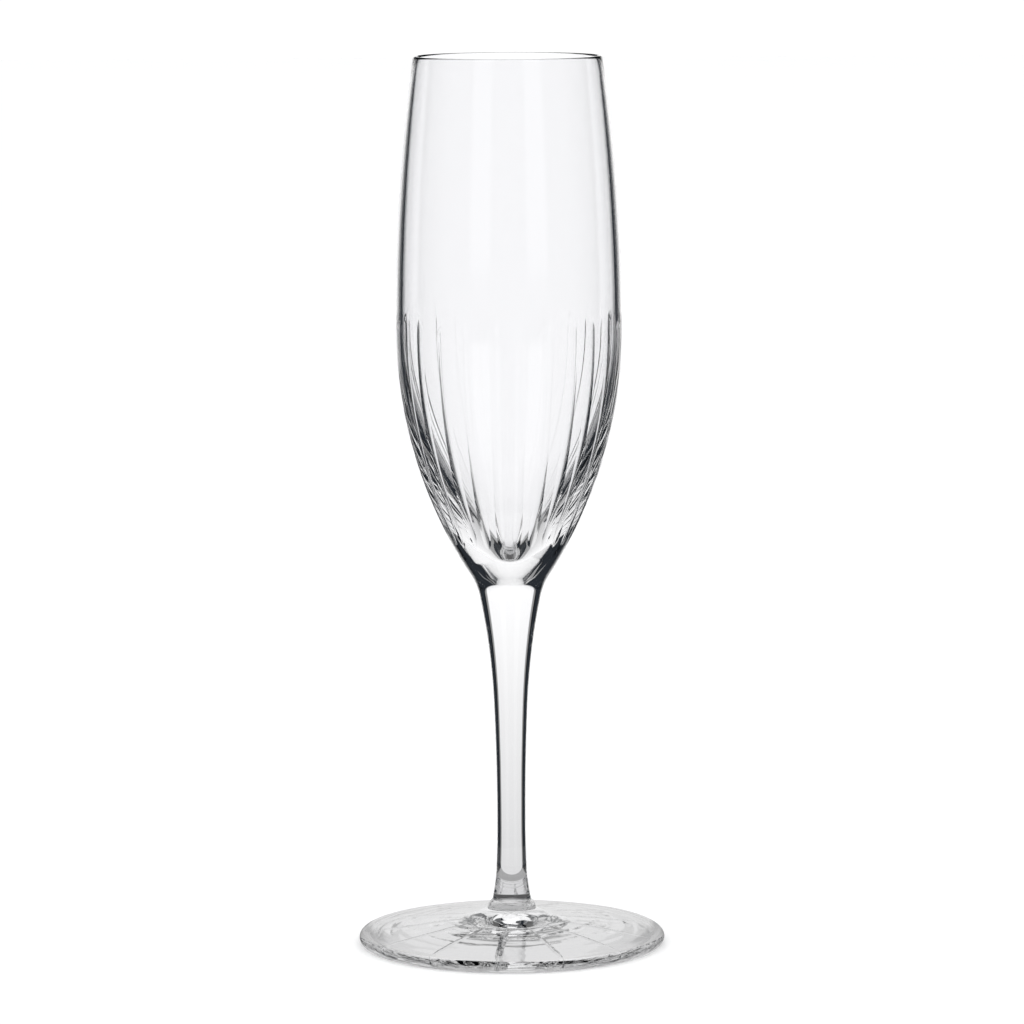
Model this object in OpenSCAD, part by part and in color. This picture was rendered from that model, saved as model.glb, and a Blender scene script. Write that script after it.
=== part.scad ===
// Cut crystal champagne flute: a blown bowl with long vertical cuts, a drawn
// stem, a small glass button and a foot with radial cuts on its underside.
// The pieces are fused face to face while hot. Millimetres, +Z up, with the
// origin in the middle of the ring that the foot stands on.

/* [Bowl] */
// Height of the bowl, from its joint with the stem to the rim
bowl_h = 139; // [115:1:170]
// Height of the widest place above the joint with the stem
belly_h = 66; // [56:1:80]
// Outer diameter at the widest place
belly_d = 60.6; // [50:0.2:74]
// Outer diameter just below the rim
rim_d = 50.4; // [42:0.2:60]
// Outer diameter of the joint between bowl and stem
joint_d = 21.4; // [18:0.2:26]
// Wall thickness at the rim
rim_wall = 1.3; // [1:0.05:2]
// Wall thickness at the widest place
belly_wall = 1.8; // [1.4:0.05:3]
// Thickness of solid glass between the joint and the inside of the bowl
bowl_floor = 6.3; // [5:0.1:9]
// Radius of the rounded bottom of the inside
nose_r = 4.6; // [3:0.1:6]

/* [Bowl cuts] */
// Number of vertical cuts around the bowl
cut_count = 26; // [12:1:30]
// Depth of each cut
cut_depth = 0.3; // [0.2:0.05:0.6]
// Edge radius of the wheel that makes the cuts
cut_edge_r = 3.3; // [1.5:0.1:4.5]
// Radius of that wheel, which sets how slowly the ends run out
cut_wheel_r = 58; // [20:1:80]
// How far the run-out at the top starts below the widest place
cut_top_drop = 1.8; // [1:0.2:20]
// Direction of the first cut, in degrees from the X axis
cut_start = -1.5; // [-15:0.5:15]
// Height above the joint where the run-out at the bottom starts
cut_low_h = 14.6; // [11:0.2:30]

/* [Stem] */
// Height of the stem, from the button to the joint with the bowl
stem_h = 89.2; // [70:0.2:120]
// Diameter of the stem at its thinnest
throat_d = 7.6; // [6:0.1:9.6]
// Diameter of the stem where it meets the button
stem_base_d = 10.6; // [9.8:0.1:12]
// Radius of the bend just below the joint
bend_r = 18; // [12:0.5:22]
// Lean of the stem's side below that bend, in degrees
bend_lean = 11.7; // [9:0.1:14]
// Lean of the stem's side at the top of the long curve above the throat, in degrees
throat_lean = 2.55; // [1:0.05:3]
// Radius of the long curve below the throat
ankle_r = 280; // [150:10:400]
// Lean of the stem's side at the bottom of that curve, in degrees
ankle_lean = 2.8; // [1:0.1:3.5]
// Radius of the flare that ends on the button
flare_r = 46; // [30:1:70]

/* [Button] */
// Height of the button between the foot and the stem
button_h = 2.4; // [1.8:0.1:4]
// Diameter of the button where it sits on the foot
button_d = 13.2; // [12.4:0.1:16]
// Radius of the bulge of its side
button_bulge_r = 3.5; // [2.5:0.1:8]

/* [Foot] */
// Diameter of the foot
foot_d = 82.8; // [68:0.2:100]
// Height of the foot at its hub, where the button sits
foot_h = 9.4; // [7.4:0.1:12]
// Thickness of the rounded edge of the foot
foot_edge = 3.2; // [2.4:0.1:3.6]
// Slope of the hub where it meets the button, in degrees
hub_slope = 27; // [20:1:40]
// Radius of the hollow curve from there down to the even slope of the foot
hub_r = 27.7; // [15:0.5:40]
// Width of the flat ring that the foot stands on
rest_w = 1.5; // [1:0.1:3]
// Height of the hollow under the foot at its middle
dome_h = 4.2; // [2:0.1:5]

/* [Foot cuts] */
// Number of radial cuts in the underside of the foot
ray_count = 13; // [6:1:24]
// Depth of each radial cut
ray_depth = 0.6; // [0.3:0.05:0.8]
// Angle between the two sides of a radial cut, in degrees
ray_angle = 110; // [80:5:130]
// Distance from the axis to the start of the inner run-out
ray_in = 18; // [11:0.5:22]
// Clearance between the rest ring and the start of the outer run-out
ray_clear = 6.6; // [6:0.2:12]
// Radius of the wheel that makes the radial cuts
ray_wheel_r = 25; // [15:1:40]
// Direction of the first radial cut, in degrees from the X axis
ray_start = 180; // [0:1:360]

/* [Hidden] */
turn_fn = 180;   // fineness of the turned shapes
arc_fn = 360;    // fineness of the long profile arcs
tool_fn = 32;    // fineness of a cutting wheel's edge
ring_fn = 240;   // fineness of a cutting wheel's path
arc_step = 1.5;  // turn between two points of a computed arc, in degrees
lap = 0.02;      // how far shapes that blend into each other overlap
run_turn = 25;   // turn of a wheel's run-out, past where it leaves the glass

// Heights of the joints
button_z = foot_h;
stem_z = button_z + button_h;
joint_z = stem_z + stem_h;
belly_z = joint_z + belly_h;
rim_z = joint_z + bowl_h;

// A length to the nearest thousandth, so that arcs that share a tangent point agree
function neat(x) = round(x * 1000) / 1000;
// Radius of the arc that leaves a vertical tangent and shifts by d over a height h
function arc_radius(h, d) = neat((h * h + d * d) / (2 * d));
// Radius on such an arc at a height dz from its widest place
function arc_r(widest, radius, dz) = widest - radius + sqrt(radius * radius - dz * dz);

// Outside of the bowl
belly_r = belly_d / 2;
joint_r = joint_d / 2;
shoulder_h = rim_z - belly_z;
shoulder_r = arc_radius(shoulder_h, belly_r - rim_d / 2);
ogive_r = arc_radius(belly_h, belly_r - joint_r);
joint_lean = asin(belly_h / ogive_r);

// Inside of the bowl
inner_belly_r = belly_r - belly_wall;
inner_shoulder_r = arc_radius(shoulder_h, inner_belly_r - rim_d / 2 + rim_wall);
nose_z = joint_z + bowl_floor + nose_r;
nose_drop = belly_z - nose_z;
inner_ogive_r = neat((inner_belly_r * inner_belly_r + nose_drop * nose_drop - nose_r * nose_r)
    / (2 * (inner_belly_r - nose_r)));
nose_top_z = neat(nose_z - nose_r * nose_drop / (inner_ogive_r - nose_r));

// Rounded lip at the rim, a bead that stands proud of the wall by the lap
lip_r = rim_wall / 2 + lap;
lip_z = rim_z - lip_r;

// Stem below the throat: two arcs that end on the button's radius
throat = throat_d / 2;
stem_base_r = stem_base_d / 2;
ankle_x = throat + ankle_r * (1 - cos(ankle_lean));
base_lean = acos(cos(ankle_lean) - (stem_base_r - ankle_x) / flare_r);
ankle_z = stem_z + flare_r * (sin(base_lean) - sin(ankle_lean));
throat_z = ankle_z + ankle_r * sin(ankle_lean);

// Stem above the throat: a long arc, a calf and a bend that end on the joint's
// radius. The long arc and the calf share the height and the width left to them.
bend_z = joint_z - bend_r * (sin(joint_lean) - sin(bend_lean));
bend_x = joint_r - bend_r * (cos(bend_lean) - cos(joint_lean));
calf_w = cos(throat_lean) - cos(bend_lean);
calf_h = sin(bend_lean) - sin(throat_lean);
throat_r = (bend_z - throat_z - (bend_x - throat) * calf_h / calf_w)
    / (sin(throat_lean) - (1 - cos(throat_lean)) * calf_h / calf_w);
calf_r = (bend_x - throat - throat_r * (1 - cos(throat_lean))) / calf_w;
calf_x = throat + throat_r * (1 - cos(throat_lean));
calf_z = bend_z - calf_r * calf_h;

// Top and underside of the foot
edge_r = foot_edge / 2;
edge_x = foot_d / 2 - edge_r;
button_r = button_d / 2;
// Height by which a foot of slope s falls short of the button
function shortfall(s) = foot_h - edge_r - edge_r * cos(s)
    - (edge_x + edge_r * sin(s) - button_r) * tan(s)
    - hub_r * (cos(s) - cos(hub_slope) - (sin(hub_slope) - sin(s)) * tan(s));
// Slope between low and high at which the foot just meets the button, by halving
function meeting_slope(low, high, tries) =
    let (middle = (low + high) / 2)
    tries == 0 ? middle
    : shortfall(middle) > 0 ? meeting_slope(middle, high, tries - 1)
    : meeting_slope(low, middle, tries - 1);
foot_slope = meeting_slope(0, hub_slope, 40);
slope_x = edge_x + edge_r * sin(foot_slope);
slope_z = edge_r + edge_r * cos(foot_slope);
hub_x = button_r + hub_r * (sin(hub_slope) - sin(foot_slope));
hub_z = foot_h - hub_r * (cos(foot_slope) - cos(hub_slope));
rest_x = edge_x - rest_w;
dome_r = arc_radius(rest_x, dome_h);

// A shape that is turned about the axis of the glass
module turned() {
    rotate_extrude($fn = turn_fn) children();
}

// Half disc right of the axis, of a circle whose widest place is at r and z,
// kept between the heights low and high
module swell(r, z, radius, low, high) {
    intersection() {
        translate([r - radius, z]) circle(radius, $fn = arc_fn);
        translate([0, low]) square([r + 1, high - low]);
    }
}

// Points of a hollow arc of the stem's side, after point a, from where it leans
// lean_a to where it leans lean_b. side is 1 going up, and -1 going down.
function hollow_arc(a, radius, lean_a, lean_b, side) =
    let (steps = max(1, round(abs(lean_b - lean_a) / arc_step)))
    [for (i = [1 : steps])
        let (lean = lean_a + (lean_b - lean_a) * i / steps)
        [a[0] + radius * (cos(lean_a) - cos(lean)),
            a[1] + side * radius * (sin(lean) - sin(lean_a))]];

// The same points in the opposite order
function backwards(points) = [for (i = [len(points) - 1 : -1 : 0]) points[i]];

// Path of a cutting wheel's edge: a main arc between the angles from and to,
// seen from its centre, and the wheel itself at each end, where it dwells and
// bites deeper by the lap before it lifts off. path_r is the radius that the
// deepest line of the cut follows. side is 1 where the wheel works on the
// outside of that arc, and -1 where it works inside it. The section of the
// wheel's edge is a child, with its deepest point at the origin and its body
// towards +X.
module wheel_path(path_r, from, to, wheel_r, side) {
    rotate([0, 0, from]) rotate_extrude(angle = to - from, $fn = ring_fn)
        translate([path_r, 0]) mirror([side > 0 ? 0 : 1, 0]) children();
    for (end = [from, to])
        rotate([0, 0, end]) translate([path_r + side * (wheel_r - lap), 0])
            rotate([0, 0, (side > 0 ? 180 : 0) - run_turn])
            rotate_extrude(angle = 2 * run_turn, $fn = ring_fn)
            translate([wheel_r, 0]) mirror([1, 0]) children();
}

// Tool for one vertical cut, in the plane of the X and Z axes
module bowl_cut_tool() {
    top_angle = -asin(cut_top_drop / ogive_r);
    low_angle = -asin((belly_h - cut_low_h) / ogive_r);
    translate([belly_r - ogive_r, 0, belly_z]) rotate([90, 0, 0])
        wheel_path(ogive_r - cut_depth, low_angle, top_angle, cut_wheel_r, 1)
        translate([cut_edge_r, 0]) circle(cut_edge_r, $fn = tool_fn);
}

// Tool for one radial cut under the foot, in the plane of the X and Z axes
module ray_tool() {
    inner = 90 - asin(ray_in / dome_r);
    outer = 90 - asin((rest_x - ray_clear) / dome_r);
    back = 2 * ray_depth;
    half_w = back * tan(ray_angle / 2);
    translate([0, 0, dome_h - dome_r]) rotate([90, 0, 0])
        wheel_path(dome_r + ray_depth, outer, inner, ray_wheel_r, -1)
        polygon([[0, 0], [back, half_w], [back, -half_w]]);
}

module bowl_blank() {
    turned() {
        swell(belly_r, belly_z, ogive_r, joint_z, belly_z);
        swell(belly_r, belly_z, shoulder_r, belly_z, lip_z);
    }
}

module bowl_inside() {
    turned() {
        intersection() {
            translate([0, nose_z]) circle(nose_r + lap, $fn = arc_fn);
            translate([0, nose_z - 2 * nose_r]) square(4 * nose_r);
        }
        swell(inner_belly_r, belly_z, inner_ogive_r, nose_top_z, belly_z);
        swell(inner_belly_r, belly_z, inner_shoulder_r, belly_z, rim_z + 1);
    }
}

module bowl_lip() {
    outer = arc_r(belly_r, shoulder_r, lip_z - belly_z);
    inner = arc_r(inner_belly_r, inner_shoulder_r, lip_z - belly_z);
    turned() translate([(outer + inner) / 2, lip_z]) circle(lip_r, $fn = tool_fn);
}

module bowl() {
    color("aliceblue", 0.45) union() {
        difference() {
            bowl_blank();
            bowl_inside();
            for (i = [0 : cut_count - 1])
                rotate([0, 0, cut_start + i * 360 / cut_count]) bowl_cut_tool();
        }
        bowl_lip();
    }
}

module stem() {
    above = concat(
        [[throat, throat_z]],
        hollow_arc([throat, throat_z], throat_r, 0, throat_lean, 1),
        hollow_arc([calf_x, calf_z], calf_r, throat_lean, bend_lean, 1),
        hollow_arc([bend_x, bend_z], bend_r, bend_lean, joint_lean, 1));
    below = concat(
        hollow_arc([throat, throat_z], ankle_r, 0, ankle_lean, -1),
        hollow_arc([ankle_x, ankle_z], flare_r, ankle_lean, base_lean, -1));
    color("lightsteelblue", 0.6) turned()
        polygon(concat([[0, stem_z]], backwards(below), above, [[0, joint_z]]));
}

module foot_button() {
    // Centre of the bulge: level with neither face, on the chord's own normal
    step = [stem_base_r - button_r, button_h];
    chord = norm(step);
    back = sqrt(button_bulge_r * button_bulge_r - chord * chord / 4);
    centre = [
        (stem_base_r + button_r) / 2 - back * step[1] / chord,
        button_z + button_h / 2 + back * step[0] / chord
    ];
    color("lightblue", 0.6) turned() {
        intersection() {
            translate(centre) circle(button_bulge_r, $fn = arc_fn);
            translate([centre[0], button_z]) square([button_bulge_r + 1, button_h]);
        }
        translate([0, button_z]) square([centre[0], button_h]);
    }
}

module foot_blank() {
    turned() {
        // Rounded edge
        intersection() {
            translate([edge_x, edge_r]) circle(edge_r, $fn = arc_fn);
            translate([edge_x, 0]) square([edge_r + 1, foot_edge]);
        }
        // Body under the slope and the hub
        difference() {
            polygon([
                [0, 0], [edge_x, 0], [edge_x, edge_r], [slope_x, slope_z - lap],
                [hub_x, hub_z], [button_r, foot_h], [0, foot_h]
            ]);
            translate([button_r + hub_r * sin(hub_slope), foot_h + hub_r * cos(hub_slope)])
                circle(hub_r, $fn = arc_fn);
        }
    }
}

// Half section of the hollow under the foot
module hollow_under() {
    intersection() {
        translate([0, dome_h - dome_r]) circle(dome_r, $fn = arc_fn);
        translate([0, -dome_h]) square([foot_d, 3 * dome_h]);
    }
}

module foot() {
    color("lightcyan", 0.5) difference() {
        foot_blank();
        turned() hollow_under();
        for (i = [0 : ray_count - 1])
            rotate([0, 0, ray_start + i * 360 / ray_count]) ray_tool();
    }
}

bowl();
stem();
foot_button();
foot();
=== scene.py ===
"""Cut crystal champagne flute, standing on a white studio floor.

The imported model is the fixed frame. Each of its four pieces of glass is made
again as a finer closed mesh: a turned body, the wheel cuts ground into it and
the slight waves that hand work leaves. Lengths are in millimetres in the
classes and in metres in Blender.
"""

import logging
import math
from dataclasses import dataclass, field
from enum import Enum

import bpy
import numpy as np
from mathutils import Matrix, Vector


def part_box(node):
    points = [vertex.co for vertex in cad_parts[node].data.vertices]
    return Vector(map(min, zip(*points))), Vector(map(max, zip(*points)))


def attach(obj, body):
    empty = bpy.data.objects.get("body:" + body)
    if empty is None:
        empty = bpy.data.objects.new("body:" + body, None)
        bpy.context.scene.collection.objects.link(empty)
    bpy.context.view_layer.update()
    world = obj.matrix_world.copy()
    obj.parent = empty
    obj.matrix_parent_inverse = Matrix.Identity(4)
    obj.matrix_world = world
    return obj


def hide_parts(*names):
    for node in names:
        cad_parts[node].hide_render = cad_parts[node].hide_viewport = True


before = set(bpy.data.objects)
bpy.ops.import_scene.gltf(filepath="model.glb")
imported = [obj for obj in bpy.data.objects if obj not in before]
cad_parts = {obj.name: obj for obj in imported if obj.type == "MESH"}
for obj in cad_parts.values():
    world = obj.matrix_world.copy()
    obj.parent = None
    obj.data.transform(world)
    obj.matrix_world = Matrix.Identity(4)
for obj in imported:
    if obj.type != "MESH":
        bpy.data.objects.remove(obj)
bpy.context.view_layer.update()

MM = 0.001
TURN = 2 * math.pi
SEED_STEP = 17  # between the seeds of the ways in which a cut wanders
log = logging.getLogger("flute")


def linear(colour: str) -> tuple[float, float, float, float]:
    """Turns an sRGB hex colour into the linear colour that a socket takes.

    Args:
        colour: Six hex digits, with or without a leading hash.

    Returns:
        Red, green, blue and alpha.
    """
    digits = colour.lstrip("#")
    values = [int(digits[i : i + 2], 16) / 255 for i in (0, 2, 4)]
    curve = [v / 12.92 if v <= 0.04045 else ((v + 0.055) / 1.055) ** 2.4 for v in values]
    return (*curve, 1.0)


def add_node(
    tree: bpy.types.NodeTree,
    kind: str,
    settings: dict | None = None,
    inputs: dict | None = None,
) -> bpy.types.Node:
    """Adds one node with its settings, its plain values and its links.

    Args:
        tree: Node tree that takes the node.
        kind: Blender's type name of the node.
        settings: Properties of the node by name.
        inputs: Input sockets by name or number, each with a plain value or
            the output socket to link.

    Returns:
        The new node.
    """
    node = tree.nodes.new(kind)
    for name, value in (settings or {}).items():
        setattr(node, name, value)
    for socket, value in (inputs or {}).items():
        if isinstance(value, bpy.types.NodeSocket):
            tree.links.new(value, node.inputs[socket])
        else:
            node.inputs[socket].default_value = value
    return node


def work_out(
    tree: bpy.types.NodeTree,
    known: dict[str, bpy.types.NodeSocket],
    steps: list[tuple],
) -> None:
    """Adds a chain of sums, and puts each result into known.

    Args:
        tree: Node tree that takes the sums.
        known: Output sockets by name, to which the results are added.
        steps: The name of each result, its operation, and its terms: names in
            known, or numbers.
    """
    for name, operation, *terms in steps:
        inputs = {i: known.get(t, t) if isinstance(t, str) else t for i, t in enumerate(terms)}
        node = add_node(tree, "ShaderNodeMath", {"operation": operation}, inputs)
        known[name] = node.outputs[0]


def add_ramp(
    tree: bpy.types.NodeTree,
    value: bpy.types.NodeSocket,
    spans: tuple[float, ...],
    smooth: bool = False,
) -> bpy.types.NodeSocket:
    """Adds a ramp from one value to another.

    Args:
        tree: Node tree that takes the ramp.
        value: Output socket that the ramp reads.
        spans: Where the ramp begins and ends, and what it gives at both ends,
            which is 0 and 1 if left out.
        smooth: Whether the ramp eases in and out.

    Returns:
        The ramp's output socket.
    """
    ramp = add_node(
        tree,
        "ShaderNodeMapRange",
        {"interpolation_type": "SMOOTHSTEP" if smooth else "LINEAR"},
        {"Value": value} | dict(enumerate(spans, 1)),
    )
    return ramp.outputs[0]


def add_place(
    tree: bpy.types.NodeTree, place: bpy.types.NodeSocket
) -> dict[str, bpy.types.NodeSocket]:
    """Adds a node that parts a place into its x, y and z.

    Args:
        tree: Node tree that takes the node.
        place: Output socket with the place.

    Returns:
        Output sockets by name.
    """
    parts = add_node(tree, "ShaderNodeSeparateXYZ", None, {0: place})
    return dict(zip("xyz", parts.outputs))


def add_millimetres(tree: bpy.types.NodeTree) -> bpy.types.NodeSocket:
    """Adds the place on an object in millimetres, and gives its output socket."""
    place = add_node(tree, "ShaderNodeTexCoord")
    scaled = add_node(
        tree,
        "ShaderNodeVectorMath",
        {"operation": "SCALE"},
        {0: place.outputs["Object"], "Scale": 1 / MM},
    )
    return scaled.outputs[0]


def new_material(name: str) -> bpy.types.Material:
    """Makes a material with an empty node tree."""
    made = bpy.data.materials.new(name)
    made.use_nodes = True
    made.node_tree.nodes.clear()
    return made


class Surface(Enum):
    """What a stretch of a piece's outline is."""

    FREE = "free"
    CUT = "cut"
    SEAM = "seam"


class WheelEdge(Enum):
    """Shape of the edge of a cutting wheel, as the power that its section follows."""

    ROUND = 2.0
    MITRE = 1.0


# --------------------------------------------------------------------- finishes


@dataclass(frozen=True)
class Crystal:
    """Finish of clear crystal glass.

    Attributes:
        name: Name of the material.
        tint: Colour of the light that the glass lets through.
        ior: Index of refraction.
        roughness: Roughness of the polish.
        wave: Length of the waves in the surface, in millimetres.
        relief: Height of the waves, in millimetres.
        stretch: How much shorter the waves are along X, Y and Z.
        detail: Octaves of finer waves on top.
        fade: How much of its strength each finer octave keeps.
    """

    name: str
    tint: str = "#FDFDFE"
    ior: float = 1.54
    roughness: float = 0.0
    wave: float = 9.0
    relief: float = 0.004
    stretch: tuple[float, float, float] = (1.0, 1.0, 0.35)
    detail: float = 1.5
    fade: float = 0.4

    def material(self) -> bpy.types.Material:
        """Builds the material, or returns it if it is there already.

        Returns:
            The material.
        """
        found = bpy.data.materials.get(self.name)
        if found:
            return found
        made = new_material(self.name)
        tree = made.node_tree
        place = add_node(tree, "ShaderNodeTexCoord")
        turned = add_node(
            tree,
            "ShaderNodeMapping",
            None,
            {"Vector": place.outputs["Object"], "Scale": self.stretch},
        )
        noise = add_node(
            tree,
            "ShaderNodeTexNoise",
            None,
            {
                "Vector": turned.outputs[0],
                "Scale": 1 / (self.wave * MM),
                "Detail": self.detail,
                "Roughness": self.fade,
            },
        )
        bump = add_node(
            tree,
            "ShaderNodeBump",
            None,
            {"Height": noise.outputs[0], "Strength": 1.0, "Distance": self.relief * MM},
        )
        glass = add_node(
            tree,
            "ShaderNodeBsdfPrincipled",
            None,
            {
                "Base Color": linear(self.tint),
                "Roughness": self.roughness,
                "IOR": self.ior,
                "Transmission Weight": 1.0,
                "Normal": bump.outputs[0],
            },
        )
        add_node(tree, "ShaderNodeOutputMaterial", None, {"Surface": glass.outputs[0]})
        return made


@dataclass(frozen=True)
class FusedSeam:
    """Finish of the face where two gathers of hot glass have become one.

    There is glass on both sides of it, so light goes straight through.
    """

    name: str = "fused_seam"

    def material(self) -> bpy.types.Material:
        """Builds the material, or returns it if it is there already.

        Returns:
            The material.
        """
        found = bpy.data.materials.get(self.name)
        if found:
            return found
        made = new_material(self.name)
        tree = made.node_tree
        clear = add_node(tree, "ShaderNodeBsdfTransparent")
        add_node(tree, "ShaderNodeOutputMaterial", None, {"Surface": clear.outputs[0]})
        return made


# Lead-free crystal, blown and fire-polished: a liquid-smooth skin with long soft waves.
BLOWN = Crystal("crystal_blown")
# The same crystal, ground by a wheel and polished in acid: crisp, very slightly less clear.
WHEEL_CUT = Crystal(
    "crystal_wheel_cut", roughness=0.015, wave=1.2, relief=0.0015, stretch=(1, 1, 0.05)
)
# The same crystal, drawn out by hand while hot: long streaks that run down the piece.
DRAWN = Crystal("crystal_drawn", wave=5.0, relief=0.003, stretch=(1, 1, 0.12))
# The same crystal, pressed and spread with a wooden tool: short waves in all directions.
SPREAD = Crystal("crystal_spread", wave=6.0, relief=0.008, stretch=(1, 1, 1))
SEAM = FusedSeam()


# --------------------------------------------------------------------- turned bodies


@dataclass
class Outline:
    """Half section of a turned piece, followed with the glass on the left.

    Attributes:
        points: Radius and height of each row, in millimetres.
        kinds: What the stretch before each row is.
    """

    points: list[tuple[float, float]] = field(default_factory=list)
    kinds: list[Surface] = field(default_factory=list)

    def start(self, r: float, z: float) -> None:
        """Puts the first row at a radius and a height."""
        self.points, self.kinds = [(r, z)], [Surface.FREE]

    def line(self, r: float, z: float, step: float, kind: Surface = Surface.FREE) -> None:
        """Follows a straight line.

        Args:
            r: Radius where the line ends.
            z: Height where the line ends.
            step: Longest distance between rows.
            kind: What the stretch is.
        """
        r0, z0 = self.points[-1]
        rows = max(1, math.ceil(math.hypot(r - r0, z - z0) / step))
        for i in range(1, rows + 1):
            self.points.append((r0 + (r - r0) * i / rows, z0 + (z - z0) * i / rows))
            self.kinds.append(kind)

    def arc(
        self,
        centre: tuple[float, float],
        radius: float,
        begin: float,
        end: float,
        step: float,
        kind: Surface = Surface.FREE,
    ) -> None:
        """Follows an arc.

        Args:
            centre: Radius and height of the arc's centre.
            radius: Radius of the arc.
            begin: Angle where the arc begins, in radians, from level outwards.
            end: Angle where the arc ends.
            step: Longest distance between rows.
            kind: What the stretch is.
        """
        rows = max(1, math.ceil(abs(end - begin) * radius / step))
        for i in range(1, rows + 1):
            a = begin + (end - begin) * i / rows
            self.points.append(
                (max(0.0, centre[0] + radius * math.cos(a)), centre[1] + radius * math.sin(a))
            )
            self.kinds.append(kind)


def start_tree(
    name: str, sizes: dict[str, float | int], attributes: tuple[str, ...]
) -> tuple[bpy.types.GeometryNodeTree, dict[str, bpy.types.NodeSocket]]:
    """Starts a geometry tree, with a named input for each size and for the finish.

    Args:
        name: Name of the tree.
        sizes: The sizes that the tree takes, by name.
        attributes: Attributes of the mesh that the tree reads.

    Returns:
        The tree, and its inputs, the attributes and x, y and z by name.
    """
    tree = bpy.data.node_groups.new(name, "GeometryNodeTree")
    tree.is_modifier = True
    kinds = {n: "Int" if isinstance(value, int) else "Float" for n, value in sizes.items()}
    kinds = {"Geometry": "Geometry"} | kinds | {"Finish": "Material"}
    for socket, kind in kinds.items():
        tree.interface.new_socket(socket, in_out="INPUT", socket_type="NodeSocket" + kind)
    tree.interface.new_socket("Geometry", in_out="OUTPUT", socket_type="NodeSocketGeometry")
    given = add_node(tree, "NodeGroupInput")
    known = {socket: given.outputs[socket] for socket in kinds}
    for key in attributes:
        read = add_node(
            tree, "GeometryNodeInputNamedAttribute", {"data_type": "FLOAT"}, {"Name": key}
        )
        known[key] = read.outputs["Attribute"]
    place = add_node(tree, "GeometryNodeInputPosition")
    return tree, known | add_place(tree, place.outputs[0])


def end_tree(
    tree: bpy.types.GeometryNodeTree,
    known: dict[str, bpy.types.NodeSocket],
    moved: bpy.types.Node,
    chosen: str,
) -> None:
    """Ends a geometry tree: realizes its instances and sets the finish.

    Args:
        tree: Geometry tree.
        known: Output sockets by name, with the finish among them.
        moved: Node that gives the geometry.
        chosen: Name in known of what picks the faces for the finish.
    """
    real = add_node(tree, "GeometryNodeRealizeInstances", None, {"Geometry": moved.outputs[0]})
    dressed = add_node(
        tree,
        "GeometryNodeSetMaterial",
        None,
        {
            "Geometry": real.outputs[0],
            "Selection": known[chosen],
            "Material": known["Finish"],
        },
    )
    add_node(tree, "NodeGroupOutput", None, {"Geometry": dressed.outputs[0]})


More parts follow.
